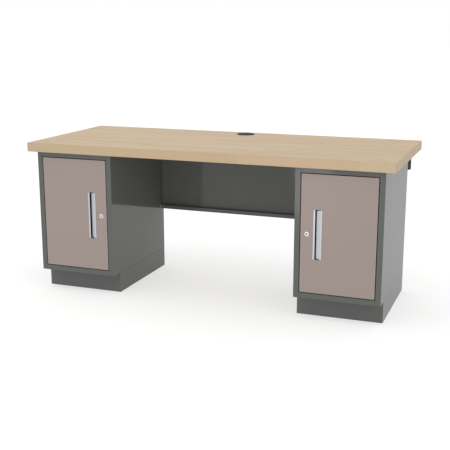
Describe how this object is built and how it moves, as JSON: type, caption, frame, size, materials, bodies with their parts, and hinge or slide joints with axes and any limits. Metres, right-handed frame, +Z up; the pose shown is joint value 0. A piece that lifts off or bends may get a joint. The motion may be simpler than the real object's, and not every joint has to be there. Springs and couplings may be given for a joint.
{
  "type": "teacher desk",
  "caption": "Free-standing desk with a thick laminated timber top on steel pedestals that have hinged locking doors, a modesty panel, a rear cable trough and a cable grommet.",
  "frame": {"origin": "on the floor, under the middle of the worktop", "axes": "+X along the desk to the right as seen from the front, -Y towards the doors and the sitter, +Z up"},
  "size_m": [1.829, 0.762, 0.758],
  "materials": {
    "maple": "clear lacquered laminated maple",
    "grey_paint": "glossy dark grey powder paint",
    "door_paint": "satin taupe powder paint",
    "aluminium": "satin anodised extrusion",
    "zinc_plate": "zinc plated",
    "chrome_plate": "bright plated",
    "black_plastic": "moulded, matt",
    "nylon": "moulded, black"
  },
  "bodies": {
    "root": {"worktop": "maple", "grommet_liner": "black_plastic", "modesty_panel": "grey_paint", "cable_trough": "grey_paint", "left_outer_side": "grey_paint", "left_inner_side": "grey_paint", "left_back_panel": "grey_paint", "left_top_rail": "grey_paint", "left_bottom_rail": "grey_paint", "left_floor_pan": "grey_paint", "left_plinth": "grey_paint", "left_shelf": "grey_paint", "left_shelf_clip_outer_front": "zinc_plate", "left_shelf_clip_outer_back": "zinc_plate", "left_shelf_clip_inner_front": "zinc_plate", "left_shelf_clip_inner_back": "zinc_plate", "left_worktop_bracket_outer": "grey_paint", "left_worktop_bracket_inner": "grey_paint", "left_door_catch": "black_plastic", "left_hinge_pin_top": "zinc_plate", "left_hinge_pin_bottom": "zinc_plate", "right_outer_side": "grey_paint", "right_inner_side": "grey_paint", "right_back_panel": "grey_paint", "right_top_rail": "grey_paint", "right_bottom_rail": "grey_paint", "right_floor_pan": "grey_paint", "right_plinth": "grey_paint", "right_shelf": "grey_paint", "right_shelf_clip_outer_front": "zinc_plate", "right_shelf_clip_outer_back": "zinc_plate", "right_shelf_clip_inner_front": "zinc_plate", "right_shelf_clip_inner_back": "zinc_plate", "right_worktop_bracket_outer": "grey_paint", "right_worktop_bracket_inner": "grey_paint", "right_door_catch": "black_plastic", "right_hinge_pin_top": "zinc_plate", "right_hinge_pin_bottom": "zinc_plate"},
    "left_door": {"left_door_skin": "door_paint", "left_door_liner": "door_paint", "left_pull": "aluminium", "left_pull_cap_top": "black_plastic", "left_pull_cap_bottom": "black_plastic", "left_lock_body": "chrome_plate", "left_hinge_bush_top": "nylon", "left_hinge_bush_bottom": "nylon"},
    "right_door": {"right_door_skin": "door_paint", "right_door_liner": "door_paint", "right_pull": "aluminium", "right_pull_cap_top": "black_plastic", "right_pull_cap_bottom": "black_plastic", "right_lock_body": "chrome_plate", "right_hinge_bush_top": "nylon", "right_hinge_bush_bottom": "nylon"},
    "left_lock": {"left_lock_plug": "chrome_plate", "left_lock_cam": "zinc_plate"},
    "right_lock": {"right_lock_plug": "chrome_plate", "right_lock_cam": "zinc_plate"},
    "grommet_cap": {"grommet_cap": "black_plastic"}
  },
  "joints": [
    {"name": "left_door_hinge", "type": "hinge", "parent": "root", "child": "left_door", "pos_m": [-0.8306, -0.351, 0.4], "axis": [0, 0, -1], "range_deg": [0, 110]},
    {"name": "right_door_hinge", "type": "hinge", "parent": "root", "child": "right_door", "pos_m": [0.8306, -0.351, 0.4], "axis": [0, 0, 1], "range_deg": [0, 110]},
    {"name": "left_lock_turn", "type": "hinge", "parent": "left_door", "child": "left_lock", "pos_m": [-0.523, -0.359, 0.406], "axis": [0, -1, 0], "range_deg": [0, 90]},
    {"name": "right_lock_turn", "type": "hinge", "parent": "right_door", "child": "right_lock", "pos_m": [0.523, -0.359, 0.406], "axis": [0, 1, 0], "range_deg": [0, 90]},
    {"name": "grommet_cap_turn", "type": "hinge", "parent": "root", "child": "grommet_cap", "pos_m": [0, 0.302, 0.755], "axis": [0, 0, 1], "continuous": true}
  ]
}
